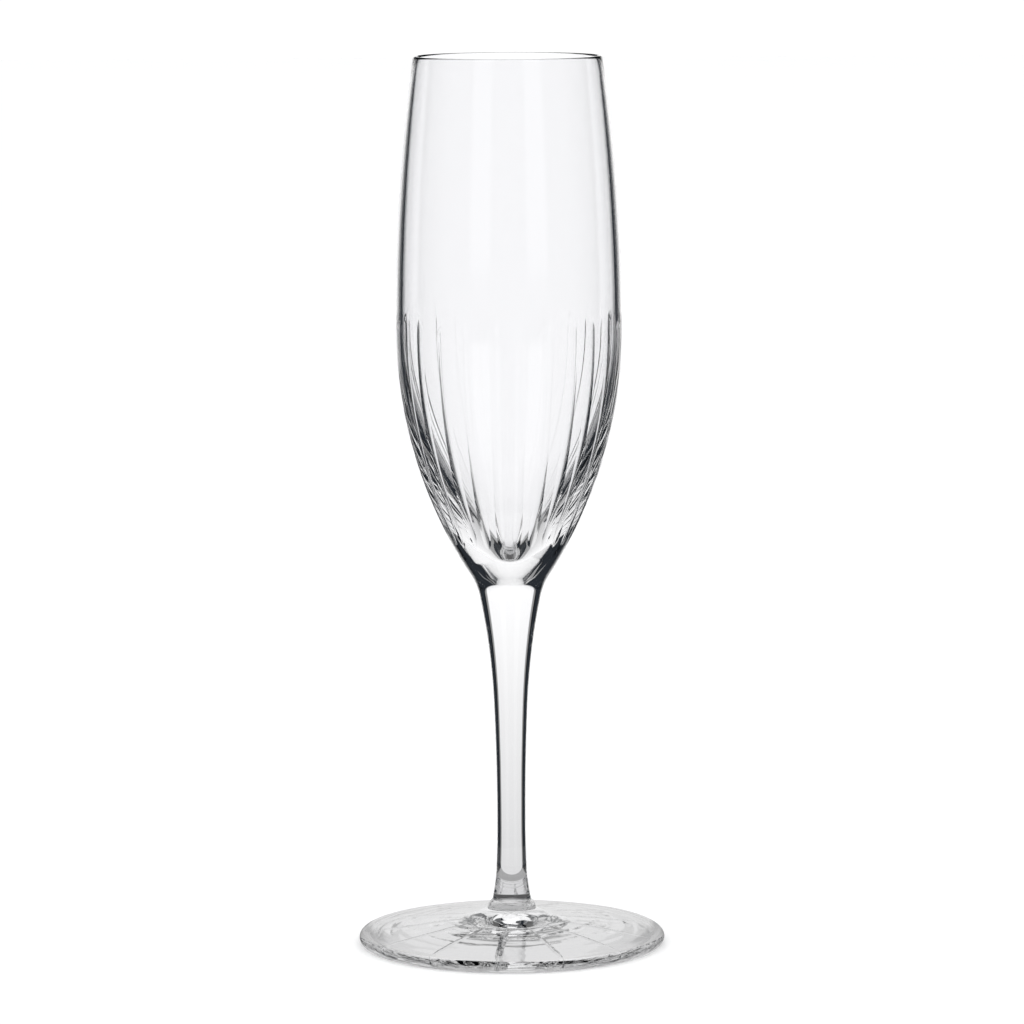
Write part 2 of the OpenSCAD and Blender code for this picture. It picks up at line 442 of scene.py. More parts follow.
@dataclass(frozen=True)
class WheelCuts:
    """Row of equal cuts that a wheel grinds into a turned piece.

    Attributes:
        edge: Shape of the wheel's edge.
        count: Number of cuts around the piece.
        first: Turn of the first cut, in degrees from the piece's right side.
        depth: Depth of a cut.
        width: Width of a cut at its full depth.
        low: Where the wheel reaches its full depth at the low end.
        high: Where it leaves its full depth at the high end.
        run_out: Length over which a cut tapers to nothing.
        ease: Length over which the columns of the mesh spread out again.
        least_width: Half width that the columns of a cut keep beyond its ends.
        wander_low: How far the low ends wander.
        wander_high: How far the high ends wander.
        wander_turn: How far a cut wanders sideways, in degrees.
        wander_depth: Share by which the depth wanders.
        seed: Seed of the wandering.
    """

    edge: WheelEdge
    count: int
    first: float
    depth: float
    width: float
    low: float
    high: float
    run_out: float
    ease: float
    wander_low: float
    wander_high: float
    wander_turn: float
    wander_depth: float
    seed: int
    least_width: float = 0.12

    def tree(self) -> bpy.types.GeometryNodeTree:
        """Builds the node tree that grinds the cuts, or returns it if it is there.

        Returns:
            The tree, with one named input for each size.
        """
        found = bpy.data.node_groups.get("wheel_cuts")
        if found:
            return found
        tree, known = start_tree(
            "wheel_cuts",
            self.values(),
            ("cut", "across", "along", "in_cut", "on_cut", "lean_r", "lean_z"),
        )
        for number, name in enumerate(("slip_low", "slip_high", "slip_turn", "slip_depth")):
            work_out(tree, known, [(name + "_seed", "ADD", "Seed", number * SEED_STEP)])
            dice = add_node(
                tree,
                "FunctionNodeRandomValue",
                {"data_type": "FLOAT"},
                {"ID": known["cut"], "Seed": known[name + "_seed"], 2: -1.0, 3: 1.0},
            )
            known[name] = dice.outputs[1]
        work_out(
            tree,
            known,
            [
                ("low", "MULTIPLY_ADD", "slip_low", "Wander low", "Low end"),
                ("high", "MULTIPLY_ADD", "slip_high", "Wander high", "High end"),
                ("below", "SUBTRACT", "low", "along"),
                ("above", "SUBTRACT", "along", "high"),
                ("over", "MAXIMUM", "below", "above"),
                ("over", "MAXIMUM", "over", 0.0),
                ("gone", "DIVIDE", "over", "Run-out"),
                ("gone", "POWER", "gone", 2.0),
                ("share", "SUBTRACT", 1.0, "gone"),
                ("share", "MAXIMUM", "share", 0.0),
                ("deep", "MULTIPLY_ADD", "slip_depth", "Wander depth", 1.0),
                ("share", "MULTIPLY", "share", "deep"),
                ("d", "MULTIPLY", "share", "Depth"),
                ("root", "DIVIDE", 1.0, "Section"),
                ("w", "POWER", "share", "root"),
                ("w", "MULTIPLY", "w", "Half width"),
                ("past", "SUBTRACT", "over", "Run-out"),
                ("past", "DIVIDE", "past", "Ease"),
                ("past", "MAXIMUM", "past", 0.0),
                ("past", "MINIMUM", "past", 1.0),
                ("xx", "MULTIPLY", "x", "x"),
                ("rr", "MULTIPLY_ADD", "y", "y", "xx"),
                ("r", "SQRT", "rr"),
                ("half", "MULTIPLY", "r", "Pitch"),
                ("half", "MULTIPLY", "half", 0.5),
                ("spread", "MULTIPLY", "half", 0.5),
                ("spread", "SUBTRACT", "spread", "Least width"),
                ("idle", "MULTIPLY_ADD", "spread", "past", "Least width"),
                ("m", "MAXIMUM", "w", "idle"),
                ("side", "SIGN", "across"),
                ("a", "ABSOLUTE", "across"),
                ("inner", "MINIMUM", "a", 0.5),
                ("inner", "MULTIPLY", "inner", 2.0),
                ("outer", "SUBTRACT", "a", 0.5),
                ("outer", "MAXIMUM", "outer", 0.0),
                ("outer", "MULTIPLY", "outer", 2.0),
                ("land", "SUBTRACT", "half", "m"),
                ("land", "MULTIPLY", "land", "outer"),
                ("off", "MULTIPLY_ADD", "inner", "m", "land"),
                ("w_safe", "MAXIMUM", "w", 1e-6),
                ("ratio", "DIVIDE", "off", "w_safe"),
                ("ratio", "POWER", "ratio", "Section"),
                ("left", "SUBTRACT", 1.0, "ratio"),
                ("left", "MAXIMUM", "left", 0.0),
                ("push", "MULTIPLY", "left", "d"),
                ("hold", "SUBTRACT", 1.0, "outer"),
                ("slip", "MULTIPLY", "slip_turn", "Wander turn"),
                ("slip", "MULTIPLY", "slip", "hold"),
                ("shift", "MULTIPLY", "off", "side"),
                ("shift", "DIVIDE", "shift", "r"),
                ("angle", "MULTIPLY_ADD", "cut", "Pitch", "First"),
                ("angle", "ADD", "angle", "slip"),
                ("angle", "ADD", "angle", "shift"),
                ("drop_r", "MULTIPLY", "push", "lean_r"),
                ("drop_z", "MULTIPLY", "push", "lean_z"),
                ("new_r", "SUBTRACT", "r", "drop_r"),
                ("new_z", "SUBTRACT", "z", "drop_z"),
                ("cos", "COSINE", "angle"),
                ("sin", "SINE", "angle"),
                ("new_x", "MULTIPLY", "new_r", "cos"),
                ("new_y", "MULTIPLY", "new_r", "sin"),
                ("ground", "GREATER_THAN", "d", 1e-6),
                ("inside", "GREATER_THAN", "in_cut", 0.99),
                ("ground", "MULTIPLY", "ground", "inside"),
            ],
        )
        point = add_node(
            tree,
            "ShaderNodeCombineXYZ",
            None,
            {0: known["new_x"], 1: known["new_y"], 2: known["new_z"]},
        )
        moved = add_node(
            tree,
            "GeometryNodeSetPosition",
            None,
            {
                "Geometry": known["Geometry"],
                "Selection": known["on_cut"],
                "Position": point.outputs[0],
            },
        )
        end_tree(tree, known, moved, "ground")
        return tree

    def values(self) -> dict[str, float | int]:
        """Gives the tree's inputs by name, in metres and radians."""
        return {
            "Depth": self.depth * MM,
            "Half width": self.width / 2 * MM,
            "Section": self.edge.value,
            "Low end": self.low * MM,
            "High end": self.high * MM,
            "Run-out": self.run_out * MM,
            "Ease": self.ease * MM,
            "Least width": self.least_width * MM,
            "Pitch": TURN / self.count,
            "First": math.radians(self.first),
            "Wander low": self.wander_low * MM,
            "Wander high": self.wander_high * MM,
            "Wander turn": math.radians(self.wander_turn),
            "Wander depth": self.wander_depth,
            "Seed": self.seed,
        }

    def grind(self, piece: bpy.types.Object, finish: Crystal) -> None:
        """Grinds the cuts into a piece.

        Args:
            piece: Turned piece, with its cut attributes.
            finish: Finish of the ground faces.
        """
        apply_tree(piece, self.tree(), self.values() | {"Finish": finish.material()})


@dataclass(frozen=True)
class HandWork:
    """Slight unevenness that hand tools leave in hot glass.

    Attributes:
        height: Height of the waves.
        around: Number of waves around the piece, roughly.
        along: Length of a wave along the radius and the height.
        seed: Offset that picks the pattern.
    """

    height: float
    around: float
    along: float
    seed: float

    def tree(self) -> bpy.types.GeometryNodeTree:
        """Builds the node tree that moves the surface, or returns it if it is there.

        Returns:
            The tree, with one named input for each size.
        """
        found = bpy.data.node_groups.get("hand_work")
        if found:
            return found
        tree, known = start_tree("hand_work", self.values(), ("free",))
        work_out(
            tree,
            known,
            [
                ("turn", "ARCTAN2", "y", "x"),
                ("cos", "COSINE", "turn"),
                ("sin", "SINE", "turn"),
                ("u", "MULTIPLY", "cos", "Around"),
                ("v", "MULTIPLY", "sin", "Around"),
                ("xx", "MULTIPLY", "x", "x"),
                ("rr", "MULTIPLY_ADD", "y", "y", "xx"),
                ("r", "SQRT", "rr"),
                ("far", "ADD", "r", "z"),
                ("far", "DIVIDE", "far", "Along"),
                ("far", "ADD", "far", "Pattern"),
            ],
        )
        spot = add_node(
            tree, "ShaderNodeCombineXYZ", None, {0: known["u"], 1: known["v"], 2: known["far"]}
        )
        noise = add_node(
            tree,
            "ShaderNodeTexNoise",
            None,
            {"Vector": spot.outputs[0], "Scale": 1.0, "Detail": 1.0, "Roughness": 0.4},
        )
        known["noise"] = noise.outputs[0]
        work_out(
            tree,
            known,
            [
                ("rise", "SUBTRACT", "noise", 0.5),
                ("rise", "MULTIPLY", "rise", 2.0),
                ("rise", "MULTIPLY", "rise", "Height"),
                ("rise", "MULTIPLY", "rise", "free"),
            ],
        )
        out = add_node(tree, "GeometryNodeInputNormal")
        offset = add_node(
            tree,
            "ShaderNodeVectorMath",
            {"operation": "SCALE"},
            {0: out.outputs[0], "Scale": known["rise"]},
        )
        moved = add_node(
            tree,
            "GeometryNodeSetPosition",
            None,
            {"Geometry": known["Geometry"], "Offset": offset.outputs[0]},
        )
        known["skin"] = add_node(tree, "GeometryNodeInputMaterialIndex").outputs[0]
        work_out(tree, known, [("bare", "LESS_THAN", "skin", 0.5)])
        end_tree(tree, known, moved, "bare")
        return tree

    def values(self) -> dict[str, float]:
        """Gives the tree's inputs by name, in metres."""
        return {
            "Height": self.height * MM,
            "Around": self.around,
            "Along": self.along * MM,
            "Pattern": self.seed,
        }

    def work(self, piece: bpy.types.Object, finish: Crystal) -> None:
        """Moves the surface of a piece, apart from what its attribute holds still."""
        apply_tree(piece, self.tree(), self.values() | {"Finish": finish.material()})


def apply_tree(piece: bpy.types.Object, tree: bpy.types.NodeTree, values: dict) -> None:
    """Runs a geometry tree on a piece and keeps the result as its plain mesh.

    Args:
        piece: Piece that is changed.
        tree: Geometry tree.
        values: The tree's inputs by name.
    """
    modifier = piece.modifiers.new(tree.name, "NODES")
    modifier.node_group = tree
    sockets = {s.name: s.identifier for s in tree.interface.items_tree if s.in_out == "INPUT"}
    for name, value in values.items():
        modifier[sockets[name]] = value
    piece.update_tag()
    graph = bpy.context.evaluated_depsgraph_get()
    done = bpy.data.meshes.new_from_object(piece.evaluated_get(graph))
    piece.modifiers.remove(modifier)
    old = piece.data
    piece.data = done
    bpy.data.meshes.remove(old)
    done.name = piece.name


@dataclass
class TurnedPiece:
    """Piece of glass turned about the axis of the flute, the base of all four.

    Attributes:
        name: Name of the piece.
        node: CAD node that the piece stands for.
        slot: Material slot of the record; not used.
        columns: Columns of the mesh for each cut, or in all where there are none.
        finish: Finish of the free surface.
        hold: How far from a seam or the floor the surface starts to be free.
        crease: Angle past which an edge is sharp, in degrees.
    """

    name: str = "piece"
    node: str = ""
    slot: str = ""
    columns: int = 16
    finish: Crystal = BLOWN
    hold: float = 2.0
    crease: float = 14.0

    def outline(self) -> Outline:
        """Gives the piece's half section."""
        raise NotImplementedError

    def turn(self, cuts: WheelCuts | None = None) -> bpy.types.Object:
        """Turns the outline into a closed mesh with the cut attributes.

        Args:
            cuts: Cuts that the mesh gets ready for.

        Returns:
            The new object, at the origin.
        """
        outline = self.outline()
        points = np.array(outline.points) * MM
        count = cuts.count if cuts else 1
        columns = self.columns * count
        cut = np.arange(columns) // self.columns
        across = -1 + 2 * (np.arange(columns) % self.columns) / self.columns
        first = math.radians(cuts.first) if cuts else 0.0
        angle = first + (cut + across / 2) * TURN / count
        poles = points[:, 0] < 1e-7
        slope = np.gradient(points, axis=0)
        length = np.hypot(slope[:, 0], slope[:, 1])
        lean_r, lean_z = slope[:, 1] / length, -slope[:, 0] / length
        kinds = outline.kinds
        on_cut = np.array(
            [
                kinds[i] is Surface.CUT and (i + 1 == len(kinds) or kinds[i + 1] is Surface.CUT)
                for i in range(len(kinds))
            ]
        )
        seam = np.array([k is Surface.SEAM for k in kinds])
        seam |= np.roll(seam, -1)
        flat = abs(slope[:, 0]) > abs(slope[:, 1])
        along = np.where(flat & on_cut, points[:, 0], points[:, 1])
        held = seam | (points[:, 1] < points[:, 1].min() + 1e-6)
        reach = np.hypot(*(points[:, None, :] - points[None, held, :]).transpose(2, 0, 1))
        free = np.clip(reach.min(axis=1) / (self.hold * MM), 0, 1)
        vertices, rows, data = [], [], {k: [] for k in self.attributes()}
        for i, (r, z) in enumerate(points):
            one = poles[i]
            turn = [0.0] if one else angle
            rows.append(range(len(vertices), len(vertices) + len(turn)))
            vertices += [(r * math.cos(a), r * math.sin(a), z) for a in turn]
            n = len(turn)
            data["cut"] += list(cut[:n])
            data["across"] += list(across[:n])
            data["in_cut"] += list((abs(across[:n]) <= 0.5) * 1.0)
            for key, value in (
                ("along", along[i]),
                ("on_cut", float(on_cut[i] and cuts is not None and not one)),
                ("lean_r", lean_r[i]),
                ("lean_z", lean_z[i]),
                ("free", free[i] ** 2),
            ):
                data[key] += [value] * n
        faces, inks = [], []
        for i in range(1, len(points)):
            a, b = rows[i - 1], rows[i]
            for j in range(columns):
                k = (j + 1) % columns
                if len(a) == 1:
                    faces.append((a[0], b[k], b[j]))
                elif len(b) == 1:
                    faces.append((a[j], a[k], b[0]))
                else:
                    faces.append((a[j], a[k], b[k], b[j]))
                inks.append(1 if kinds[i] is Surface.SEAM else 0)
        mesh = bpy.data.meshes.new(self.name)
        mesh.from_pydata(vertices, [], faces)
        mesh.polygons.foreach_set("material_index", inks)
        mesh.polygons.foreach_set("use_smooth", [True] * len(faces))
        for key, values in data.items():
            mesh.attributes.new(key, "FLOAT", "POINT").data.foreach_set("value", values)
        mesh.materials.append(self.finish.material())
        mesh.materials.append(SEAM.material())
        mesh.update()
        piece = bpy.data.objects.new(self.name, mesh)
        bpy.context.scene.collection.objects.link(piece)
        return piece

    @staticmethod
    def attributes() -> tuple[str, ...]:
        """Names the attributes that the geometry trees read."""
        return ("cut", "across", "along", "in_cut", "on_cut", "lean_r", "lean_z", "free")

    def complete(self, piece: bpy.types.Object) -> bpy.types.Object:
        """Marks the creases, clears the attributes and ties the piece to the frame.

        Args:
            piece: Piece with its final shape.

        Returns:
            The piece.
        """
        mesh = piece.data
        for key in self.attributes():
            mesh.attributes.remove(mesh.attributes[key])
        mesh.set_sharp_from_angle(angle=math.radians(self.crease))
        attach(piece, "root")
        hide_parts(self.node)
        log.info("%s: %d faces, %d materials", piece.name, len(mesh.polygons), len(mesh.materials))
        return piece


# --------------------------------------------------------------------- the four gathers


@dataclass
class Bowl(TurnedPiece):
    """Blown bowl with upright cuts around its lower half.

    Attributes:
        belly_height: Height of the widest place above the joint.
        belly_diameter: Widest diameter.
        rim_diameter: Diameter of the rim.
        joint_diameter: Diameter where the stem begins.
        rim_wall: Wall at the rim.
        belly_wall: Wall at the widest place.
        floor: Glass under the bottom of the hollow.
        nose_radius: Radius of the bottom of the hollow.
    """

    name: str = "flute_bowl"
    node: str = "bowl"
    slot: str = "bowl_crystal"
    belly_height: float = 66.0
    belly_diameter: float = 60.6
    rim_diameter: float = 50.4
    joint_diameter: float = 21.4
    rim_wall: float = 1.3
    belly_wall: float = 1.8
    floor: float = 6.3
    nose_radius: float = 4.6

    def __post_init__(self) -> None:
        """Takes the heights from the frame."""
        low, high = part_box(self.node)
        self.base, self.rim = low.z / MM, high.z / MM
        self.belly = self.base + self.belly_height

    def cuts(self) -> WheelCuts:
        """Gives the upright cuts."""
        return WheelCuts(
            edge=WheelEdge.ROUND,
            count=26,
            first=-1.5,
            depth=0.24,
            width=2.8,
            low=self.base + 14.6,
            high=self.belly - 1.8,
            run_out=5.9,
            ease=3.0,
            wander_low=0.8,
            wander_high=2.0,
            wander_turn=1.2,
            wander_depth=0.12,
            seed=11,
        )

    def joint_lean(self) -> float:
        """Gives how far the side leans from upright at the joint, in radians."""
        out = (self.belly_diameter - self.joint_diameter) / 2
        return math.asin(self.belly_height / tangent_radius(self.belly_height, out))

    def outline(self) -> Outline:
        """Follows the joint, the outside, the lip and the inside.

        Returns:
            The half section.
        """
        belly, joint = self.belly_diameter / 2, self.joint_diameter / 2
        lip = self.rim_wall / 2
        lip_z = self.rim - lip
        tall = self.rim - self.belly
        ogive = tangent_radius(self.belly_height, belly - joint)
        shoulder = tangent_radius(tall, belly - self.rim_diameter / 2)
        inner = belly - self.belly_wall
        inner_shoulder = tangent_radius(tall, inner - self.rim_diameter / 2 + self.rim_wall)
        nose_z = self.base + self.floor + self.nose_radius
        drop = self.belly - nose_z
        inner_ogive = (inner**2 + drop**2 - self.nose_radius**2) / (2 * (inner - self.nose_radius))
        made = Outline()
        made.start(0.0, self.base)
        made.line(joint, self.base, 2.0, Surface.SEAM)
        angle = -self.joint_lean()
        for top, step in (
            (self.base + 1.5, 0.15),
            (self.base + 8.0, 0.6),
            (self.base + 17.0, 0.5),
            (self.belly - 4.0, 1.0),
            (self.belly, 0.5),
        ):
            end = math.asin((top - self.belly) / ogive)
            made.arc((belly - ogive, self.belly), ogive, angle, end, step, Surface.CUT)
            angle = end
        for top, step in ((self.belly + 9.0, 0.5), (self.belly + 23.0, 1.5), (lip_z, 3.0)):
            end = math.asin((top - self.belly) / shoulder)
            made.arc((belly - shoulder, self.belly), shoulder, angle, end, step, Surface.CUT)
            angle = end
        out = made.points[-1][0]
        into = inner - inner_shoulder + math.sqrt(inner_shoulder**2 - (lip_z - self.belly) ** 2)
        made.arc(((out + into) / 2, lip_z), (out - into) / 2, 0.0, math.pi, 0.13)
        angle = math.asin((lip_z - self.belly) / inner_shoulder)
        made.arc((inner - inner_shoulder, self.belly), inner_shoulder, angle, 0.0, 3.0)
        blend = -math.acos((inner_ogive - inner) / (inner_ogive - self.nose_radius))
        made.arc((inner - inner_ogive, self.belly), inner_ogive, 0.0, blend, 2.0)
        made.arc((0.0, nose_z), self.nose_radius, blend, -math.pi / 2, 0.35)
        return made

    def build(self) -> bpy.types.Object:
        """Builds the bowl."""
        piece = self.turn(self.cuts())
        self.cuts().grind(piece, WHEEL_CUT)
        return self.complete(piece)


def tangent_radius(height: float, shift: float) -> float:
    """Gives the radius of an arc that starts upright and shifts over a height."""
    return (height**2 + shift**2) / (2 * shift)


@dataclass
class Stem(TurnedPiece):
    """Drawn stem, waisted low down and flared into the bowl.

    Attributes:
        throat_diameter: Diameter at the waist.
        joint_diameter: Diameter under the bowl.
        base_diameter: Diameter on the button.
        bend_radius: Radius of the bend under the bowl.
        bend_lean: Lean where that bend ends, in degrees.
        throat_lean: Lean where the long arc above the waist ends, in degrees.
        ankle_radius: Radius of the long arc under the waist.
        ankle_lean: Lean where it ends, in degrees.
        flare_radius: Radius of the flare onto the button.
        joint_lean: Lean of the bowl's side at the joint, in radians.
    """

    name: str = "flute_stem"
    node: str = "stem"
    slot: str = "stem_crystal"
    columns: int = 144
    finish: Crystal = DRAWN
    throat_diameter: float = 7.6
    joint_diameter: float = 21.4
    base_diameter: float = 10.6
    bend_radius: float = 18.0
    bend_lean: float = 11.7
    throat_lean: float = 2.55
    ankle_radius: float = 280.0
    ankle_lean: float = 2.8
    flare_radius: float = 46.0
    joint_lean: float = 0.0

    def outline(self) -> Outline:
        """Follows the button joint, the side and the bowl joint.

        Returns:
            The half section.
        """
        low, high = (v.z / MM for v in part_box(self.node))
        joint, throat = self.joint_diameter / 2, self.throat_diameter / 2
        base = self.base_diameter / 2
        bend, lean, ankle = (
            math.radians(a) for a in (self.bend_lean, self.throat_lean, self.ankle_lean)
        )
        top = self.joint_lean
        ankle_x = throat + self.ankle_radius * (1 - math.cos(ankle))
        foot = math.acos(math.cos(ankle) - (base - ankle_x) / self.flare_radius)
        waist = low + self.flare_radius * (math.sin(foot) - math.sin(ankle))
        waist += self.ankle_radius * math.sin(ankle)
        wide = joint - throat - self.bend_radius * (math.cos(bend) - math.cos(top))
        tall = high - waist - self.bend_radius * (math.sin(top) - math.sin(bend))
        slant = (math.sin(bend) - math.sin(lean)) / (math.cos(lean) - math.cos(bend))
        above = (tall - wide * slant) / (math.sin(lean) - (1 - math.cos(lean)) * slant)
        calf = (wide - above * (1 - math.cos(lean))) / (math.cos(lean) - math.cos(bend))
        made = Outline()
        made.start(0.0, low)
        made.line(base, low, 1.0, Surface.SEAM)
        for radius, begin, end, down, step in (
            (self.flare_radius, foot, ankle, True, 0.25),
            (self.ankle_radius, ankle, 0.0, True, 0.8),
            (above, 0.0, lean, False, 0.8),
            (calf, lean, bend, False, 0.5),
            (self.bend_radius, bend, top, False, 0.12),
        ):
            r, z = made.points[-1]
            side = 1 if down else -1
            begin, end = math.pi + side * begin, math.pi + side * end
            centre = (r - radius * math.cos(begin), z - radius * math.sin(begin))
            made.arc(centre, radius, begin, end, step)
        made.line(0.0, high, 1.0, Surface.SEAM)
        return made

    def build(self) -> bpy.types.Object:
        """Builds the stem."""
        piece = self.turn()
        HandWork(height=0.035, around=0.9, along=16.0, seed=3.0).work(piece, self.finish)
        return self.complete(piece)


@dataclass
class FootButton(TurnedPiece):
    """Button of glass between the stem and the foot.

    Attributes:
        top_diameter: Diameter under the stem.
        diameter: Diameter on the foot.
        bulge_radius: Radius of its rounded side.
    """

    name: str = "flute_button"
    node: str = "foot_button"
    slot: str = "button_crystal"
    columns: int = 144
    finish: Crystal = SPREAD
    top_diameter: float = 10.6
    diameter: float = 13.2
    bulge_radius: float = 3.5

    def outline(self) -> Outline:
        """Follows the foot joint, the bulged side and the stem joint.

        Returns:
            The half section.
        """
        low, high = (v.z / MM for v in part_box(self.node))
        wide, narrow = self.diameter / 2, self.top_diameter / 2
        half = math.hypot(wide - narrow, high - low) / 2
        middle = ((wide + narrow) / 2, (low + high) / 2)
        back = math.sqrt(self.bulge_radius**2 - half**2) / (2 * half)
        centre = (
            middle[0] - (high - low) * back,
            middle[1] - (wide - narrow) * back,
        )
        begin = math.atan2(low - centre[1], wide - centre[0])
        end = math.atan2(high - centre[1], narrow - centre[0])
        made = Outline()
        made.start(0.0, low)
        made.line(wide, low, 1.0, Surface.SEAM)
        made.arc(centre, self.bulge_radius, begin, end, 0.12)
        made.line(0.0, high, 1.0, Surface.SEAM)
        return made

    def build(self) -> bpy.types.Object:
        """Builds the button."""
        piece = self.turn()
        HandWork(height=0.12, around=2.2, along=1.6, seed=9.0).work(piece, self.finish)
        return self.complete(piece)


@dataclass
class Foot(TurnedPiece):
    """Spread foot, domed underneath, with a star of mitre cuts under it.

    Attributes:
        edge: Thickness of the rounded rim.
        slope: Slope of the top, in degrees.
        hub_slope: Slope of the rise onto the button, in degrees.
        rest_width: Width of the flat ring that it stands on.
        dome: Height of the hollow under it.
        button_diameter: Diameter of the button.
    """

    name: str = "flute_foot"
    node: str = "foot"
    slot: str = "foot_crystal"
    columns: int = 32
    finish: Crystal = SPREAD
    edge: float = 3.2
    slope: float = 8.0
    hub_slope: float = 27.0
    rest_width: float = 1.5
    dome: float = 4.2
    button_diameter: float = 13.2

    def cuts(self) -> WheelCuts:
        """Gives the star of cuts under the foot."""
        return WheelCuts(
            edge=WheelEdge.MITRE,
            count=13,
            first=180.0,
            depth=0.6,
            width=1.72,
            low=18.0,
            high=31.7,
            run_out=5.5,
            ease=2.0,
            wander_low=0.8,
            wander_high=0.9,
            wander_turn=0.9,
            wander_depth=0.15,
            seed=5,
        )

    def outline(self) -> Outline:
        """Follows the underside, the rim, the top and the button's joint.

        Returns:
            The half section.
        """
        low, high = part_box(self.node)
        outside, tall = high.x / MM, high.z / MM
        edge = self.edge / 2
        edge_x = outside - edge
        slope, hub_slope = math.radians(self.slope), math.radians(self.hub_slope)
        slope_x, slope_z = edge_x + edge * math.sin(slope), edge + edge * math.cos(slope)
        button = self.button_diameter / 2
        hub = (tall - slope_z - (slope_x - button) * math.tan(slope)) / (
            math.cos(slope)
            - math.cos(hub_slope)
            - (math.sin(hub_slope) - math.sin(slope)) * math.tan(slope)
        )
        rest = edge_x - self.rest_width
        dome = tangent_radius(rest, self.dome)
        made = Outline()
        made.start(0.0, self.dome)
        begin = math.pi / 2
        for stop, step in ((10.0, 1.0), (20.0, 0.5), (24.0, 0.8), (36.0, 0.5), (rest, 0.5)):
            end = math.acos(stop / dome)
            made.arc((0.0, self.dome - dome), dome, begin, end, step, Surface.CUT)
            begin = end
        made.line(edge_x, 0.0, 0.4)
        made.arc((edge_x, edge), edge, -math.pi / 2, math.pi / 2 - slope, 0.2)
        hub_x = button + hub * (math.sin(hub_slope) - math.sin(slope))
        hub_z = tall - hub * (math.cos(slope) - math.cos(hub_slope))
        made.line(hub_x, hub_z, 0.8)
        centre = (hub_x + hub * math.sin(slope), hub_z + hub * math.cos(slope))
        made.arc(centre, hub, -math.pi / 2 - slope, -math.pi / 2 - hub_slope, 0.5)
        made.line(0.0, tall, 1.0, Surface.SEAM)
        return made

    def build(self) -> bpy.types.Object:
        """Builds the foot."""
        piece = self.turn(self.cuts())
        self.cuts().grind(piece, WHEEL_CUT)
        HandWork(height=0.18, around=1.6, along=3.0, seed=21.0).work(piece, self.finish)
        return self.complete(piece)


# --------------------------------------------------------------------- studio


@dataclass(frozen=True)
class Window:
    """Bright opening in the dark tent around the flute.

    Attributes:
        azimuth: Heading of its middle, in degrees from +Y towards -X.
        half: Half of its width, in degrees.
        low: Lowest elevation, in degrees.
        high: Highest elevation, in degrees.
        light: Brightness.
        soft: Width of its soft edges, in degrees.
    """

    azimuth: float
    half: float
    low: float
    high: float
    light: float = 1.0
    soft: float = 4.0


def add_sheet(
    name: str, corners: list[tuple[float, float, float]], finish: bpy.types.Material
) -> bpy.types.Object:
    """Adds a flat sheet with four corners to the studio.

    Args:
        name: Name of the sheet.
        corners: Its corners in turn, in millimetres.
        finish: Its material.

    Returns:
        The new object, at the origin.
    """
    mesh = bpy.data.meshes.new(name)
    mesh.from_pydata([tuple(v * MM for v in corner) for corner in corners], [], [(0, 1, 2, 3)])
    mesh.materials.append(finish)
    sheet = bpy.data.objects.new(name, mesh)
    bpy.context.scene.collection.objects.link(sheet)
    return sheet


@dataclass(frozen=True)
class Card:
    """Narrow white card close behind the glass, which only the glass sees.

    A ramp says where it begins and ends, and what it gives at both ends.

    Attributes:
        half_width: Half of the card's width.
        back: Distance behind the axis.
        height: Height of its top.
        taper: How far the bright middle narrows, from height to height.
        rise: Brightness from the bottom up.
        core: Brightness across the edge of the bright middle.
        margin: Brightness across the outer edge of the grey margin.
    """

    half_width: float = 62.0
    back: float = 64.0
    height: float = 250.0
    taper: tuple[float, ...] = (110.0, 150.0, 0.0, -7.0)
    rise: tuple[float, ...] = (0.0, 110.0, 0.78, 1.15)
    core: tuple[float, ...] = (41.5, 44.0, 1.0, 0.3)
    margin: tuple[float, ...] = (52.0, 55.0, 1.0, 0.0)

    def build(self) -> None:
        """Hangs the card, seen by the glass alone."""
        made = new_material("lit_white_card")
        tree = made.node_tree
        known = add_place(tree, add_millimetres(tree))
        work_out(tree, known, [("out", "ABSOLUTE", "x")])
        known["taper"] = add_ramp(tree, known["z"], self.taper)
        work_out(tree, known, [("wide", "ADD", "out", "taper")])
        known["rise"] = add_ramp(tree, known["z"], self.rise)
        known["core"] = add_ramp(tree, known["wide"], self.core)
        known["margin"] = add_ramp(tree, known["wide"], self.margin)
        work_out(
            tree,
            known,
            [("light", "MULTIPLY", "rise", "core"), ("light", "MULTIPLY", "light", "margin")],
        )
        lit = add_node(
            tree,
            "ShaderNodeEmission",
            None,
            {"Color": linear("#FFFFFF"), "Strength": known["light"]},
        )
        add_node(tree, "ShaderNodeOutputMaterial", None, {"Surface": lit.outputs[0]})
        x, y, z = self.half_width, self.back, self.height
        card = add_sheet("studio_card", [(-x, y, 0), (x, y, 0), (x, y, z), (-x, y, z)], made)
        card.visible_camera = card.visible_diffuse = card.visible_shadow = False


